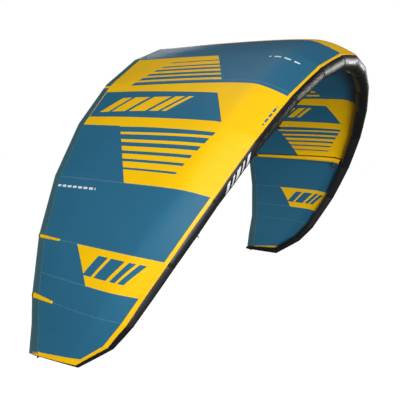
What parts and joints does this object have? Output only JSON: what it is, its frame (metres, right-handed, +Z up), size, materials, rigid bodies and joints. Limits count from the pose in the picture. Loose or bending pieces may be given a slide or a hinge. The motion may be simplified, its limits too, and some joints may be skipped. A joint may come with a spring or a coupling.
{
  "type": "inflatable kitesurfing kite",
  "caption": "Arched inflatable wing for kitesurfing: a tube along the leading edge and inflated struts hold a cambered cloth canopy, with valves, hose clips and webbing eyes for the lines.",
  "frame": {"origin": "midway between the eyes of the two middle bridle tabs, on the plane of symmetry", "axes": "+X along the span to the right wing, +Y from the leading edge back to the trailing edge, +Z up, away from the flyer"},
  "size_m": [4.431, 2.1157, 2.7942],
  "materials": {
    "canopy_yellow": "woven ripstop nylon with a light coating",
    "canopy_blue": "woven ripstop nylon with a light coating",
    "band_grey": "stiff woven polyester tape",
    "trim_yellow": "woven polyester tape",
    "sleeve_black": "smooth laminated polyester sailcloth",
    "bladder_film": "thin clear polyurethane film",
    "strut_yellow": "smooth laminated polyester sailcloth",
    "patch_black": "woven reinforcement cloth",
    "pocket_yellow": "woven reinforcement cloth",
    "batten_plastic": "moulded",
    "hose_plastic": "soft moulded tube",
    "clip_plastic": "moulded",
    "lever_plastic": "moulded",
    "valve_plastic": "moulded",
    "cap_plastic": "moulded",
    "webbing_black": "flat woven webbing",
    "zip_cloth": "woven zip tape",
    "zip_metal": "die-cast"
  },
  "bodies": {
    "kite": {"air_hoses": "hose_plastic", "back_line_tab_left": "webbing_black", "back_line_tab_right": "webbing_black", "batten_pockets_left": "pocket_yellow", "batten_pockets_right": "pocket_yellow", "battens_left": "batten_plastic", "battens_right": "batten_plastic", "bridle_tabs_left": "webbing_black", "bridle_tabs_right": "webbing_black", "canopy_panel_centre": "canopy_yellow", "canopy_panel_inner_left": "canopy_blue", "canopy_panel_inner_right": "canopy_blue", "canopy_panel_middle_left": "canopy_blue", "canopy_panel_middle_right": "canopy_blue", "canopy_panel_outer_left": "canopy_blue", "canopy_panel_outer_right": "canopy_blue", "canopy_panel_root_left": "canopy_blue", "canopy_panel_root_right": "canopy_blue", "canopy_panel_tip_left": "canopy_blue", "canopy_panel_tip_right": "canopy_blue", "canopy_panel_wing_left": "canopy_blue", "canopy_panel_wing_right": "canopy_blue", "deflate_valve_body": "valve_plastic", "hose_clip_bodies": "clip_plastic", "inflate_valve_body": "valve_plastic", "leading_edge_bladder": "bladder_film", "leading_edge_sleeve_inner_left": "sleeve_black", "leading_edge_sleeve_inner_right": "sleeve_black", "leading_edge_sleeve_middle_left": "sleeve_black", "leading_edge_sleeve_middle_right": "sleeve_black", "leading_edge_sleeve_outer_left": "sleeve_black", "leading_edge_sleeve_outer_right": "sleeve_black", "leading_edge_sleeve_tip_left": "sleeve_black", "leading_edge_sleeve_tip_right": "sleeve_black", "seam_trim_left": "trim_yellow", "seam_trim_right": "trim_yellow", "strut_bladder_centre": "bladder_film", "strut_bladder_left": "bladder_film", "strut_bladder_right": "bladder_film", "strut_end_patches": "patch_black", "strut_sleeve_centre": "strut_yellow", "strut_sleeve_left": "strut_yellow", "strut_sleeve_right": "strut_yellow", "trailing_edge_band_left": "band_grey", "trailing_edge_band_right": "band_grey", "zip_tape": "zip_cloth"},
    "inflate_cap": {"inflate_valve_cap": "cap_plastic"},
    "deflate_cap": {"deflate_valve_cap": "cap_plastic"},
    "clip_lever_centre": {"hose_clip_lever_centre": "lever_plastic"},
    "clip_lever_right": {"hose_clip_lever_right": "lever_plastic"},
    "clip_lever_left": {"hose_clip_lever_left": "lever_plastic"},
    "end_flap_centre": {"strut_end_flap_centre": "patch_black"},
    "end_flap_right": {"strut_end_flap_right": "patch_black"},
    "end_flap_left": {"strut_end_flap_left": "patch_black"},
    "zip_slider": {"zip_slider": "zip_metal"},
    "zip_pull": {"zip_pull": "zip_metal"}
  },
  "joints": [
    {"name": "inflate_cap_hinge", "type": "hinge", "parent": "kite", "child": "inflate_cap", "pos_m": [0.21765, -0.07694, 0.55191], "axis": [0.9945, 0.03, -0.1006], "range_deg": [0, 150]},
    {"name": "deflate_cap_hinge", "type": "hinge", "parent": "kite", "child": "deflate_cap", "pos_m": [-0.21521, -0.09837, 0.52136], "axis": [-0.9945, 0.03, -0.1006], "range_deg": [0, 150]},
    {"name": "clip_lever_centre_hinge", "type": "hinge", "parent": "kite", "child": "clip_lever_centre", "pos_m": [0.1266, -0.05438, 0.62471], "axis": [-0.1111, 0.257, -0.96], "range_deg": [0, 70]},
    {"name": "clip_lever_right_hinge", "type": "hinge", "parent": "kite", "child": "clip_lever_right", "pos_m": [1.88184, 0.44144, -0.56865], "axis": [-0.9348, 0.208, -0.288], "range_deg": [0, 70]},
    {"name": "clip_lever_left_hinge", "type": "hinge", "parent": "kite", "child": "clip_lever_left", "pos_m": [-1.88184, 0.44144, -0.56865], "axis": [-0.9348, -0.208, 0.288], "range_deg": [0, 70]},
    {"name": "end_flap_centre_fold", "type": "hinge", "parent": "kite", "child": "end_flap_centre", "pos_m": [0, 1.55818, 0.86803], "axis": [1, 0, 0], "range_deg": [0, 80]},
    {"name": "end_flap_right_fold", "type": "hinge", "parent": "kite", "child": "end_flap_right", "pos_m": [1.92051, 1.60089, -0.40056], "axis": [0.488, 0.0381, -0.872], "range_deg": [0, 80]},
    {"name": "end_flap_left_fold", "type": "hinge", "parent": "kite", "child": "end_flap_left", "pos_m": [-1.92051, 1.60089, -0.40056], "axis": [0.488, -0.0381, 0.872], "range_deg": [0, 80]},
    {"name": "zip_slide", "type": "slide", "parent": "kite", "child": "zip_slider", "axis": [-0.9946, 0.0336, -0.0978], "range_m": [0, 0.2872]},
    {"name": "zip_pull_hinge", "type": "hinge", "parent": "zip_slider", "child": "zip_pull", "pos_m": [-0.05192, -0.12909, 0.52817], "axis": [-0.0057, 0.9266, 0.3761], "range_deg": [-85, 85]}
  ]
}
